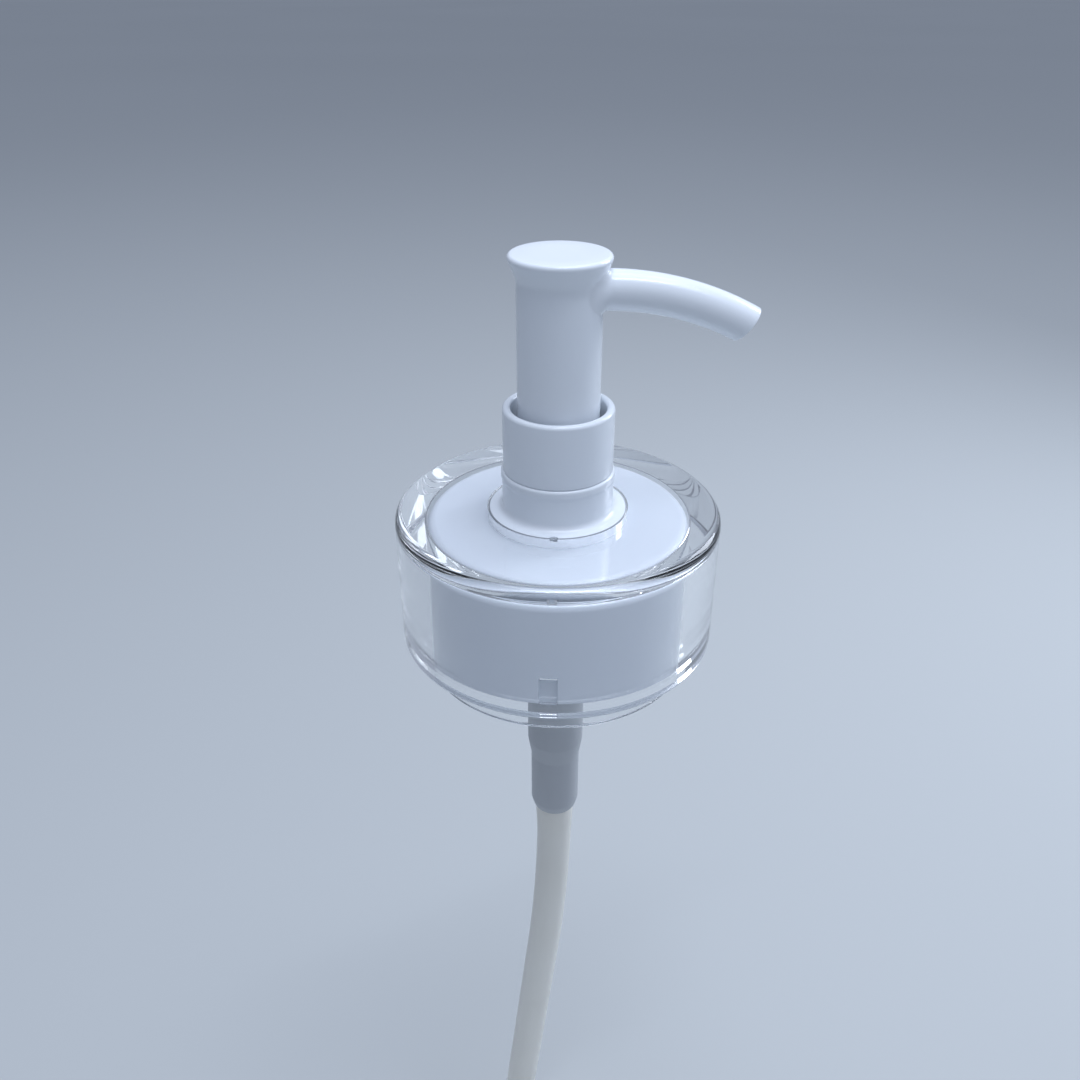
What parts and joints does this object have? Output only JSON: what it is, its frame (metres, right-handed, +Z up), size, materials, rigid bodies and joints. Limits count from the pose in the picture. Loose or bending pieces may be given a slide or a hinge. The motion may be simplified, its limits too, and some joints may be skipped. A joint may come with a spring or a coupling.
{
  "type": "lotion pump head",
  "caption": "Push-down lotion pump head with a curved spout, a clear acrylic over-shell round a white screw closure, and a curved dip tube.",
  "frame": {"origin": "on the pump's axis, at the level where the underside of the neck gasket meets the top of the bottle neck", "axes": "+Z up along the stem, towards the finger pad; +X along the spout; the dip tube hangs towards -Z and bends towards -X"},
  "size_m": [0.0551, 0.052, 0.2115],
  "materials": {
    "white_shell": "glossy moulded white polypropylene of the head, collar and closure",
    "white_cap": "smooth white polypropylene of the inner cap, seen through the clear shell",
    "clear_acrylic": "polished clear acrylic, refractive index about 1.49",
    "white_housing": "satin white polypropylene of the pump housing",
    "milky_tube": "milky translucent polyethylene",
    "natural_seal": "soft natural polyethylene",
    "foam_gasket": "white polyethylene foam",
    "spring_steel": "drawn stainless spring wire",
    "ball_steel": "polished stainless ball",
    "ball_glass": "plain glass ball"
  },
  "bodies": {
    "pump_body": {"housing": "white_housing", "lock_collar": "white_shell", "stem_wiper": "natural_seal", "valve_cage": "white_housing", "return_spring": "spring_steel", "dip_tube": "milky_tube", "neck_gasket": "foam_gasket"},
    "closure": {"threaded_closure": "white_shell", "inner_cap": "white_cap", "acrylic_shell": "clear_acrylic"},
    "piston": {"piston_seal": "natural_seal"},
    "plunger": {"actuator_head": "white_shell", "stem": "white_housing", "piston_rod": "white_housing"},
    "inlet_ball": {"inlet_ball": "ball_glass"},
    "outlet_ball": {"outlet_ball": "ball_steel"}
  },
  "joints": [
    {"name": "press", "type": "slide", "parent": "pump_body", "child": "piston", "axis": [0, 0, -1], "range_m": [0, 0.012], "stiffness_N_per_m": 600, "springref_m": -0.004, "deforming": ["return_spring"]},
    {"name": "head_swivel", "type": "hinge", "parent": "piston", "child": "plunger", "pos_m": [0, 0, 0], "axis": [0, 0, 1], "continuous": true},
    {"name": "closure_turn", "type": "hinge", "parent": "pump_body", "child": "closure", "pos_m": [0, 0, 0], "axis": [0, 0, 1], "continuous": true},
    {"name": "inlet_lift", "type": "slide", "parent": "pump_body", "child": "inlet_ball", "axis": [0, 0, 1], "range_m": [0, 0.0011]},
    {"name": "outlet_lift", "type": "slide", "parent": "plunger", "child": "outlet_ball", "axis": [0, 0, 1], "range_m": [0, 0.0014]}
  ]
}
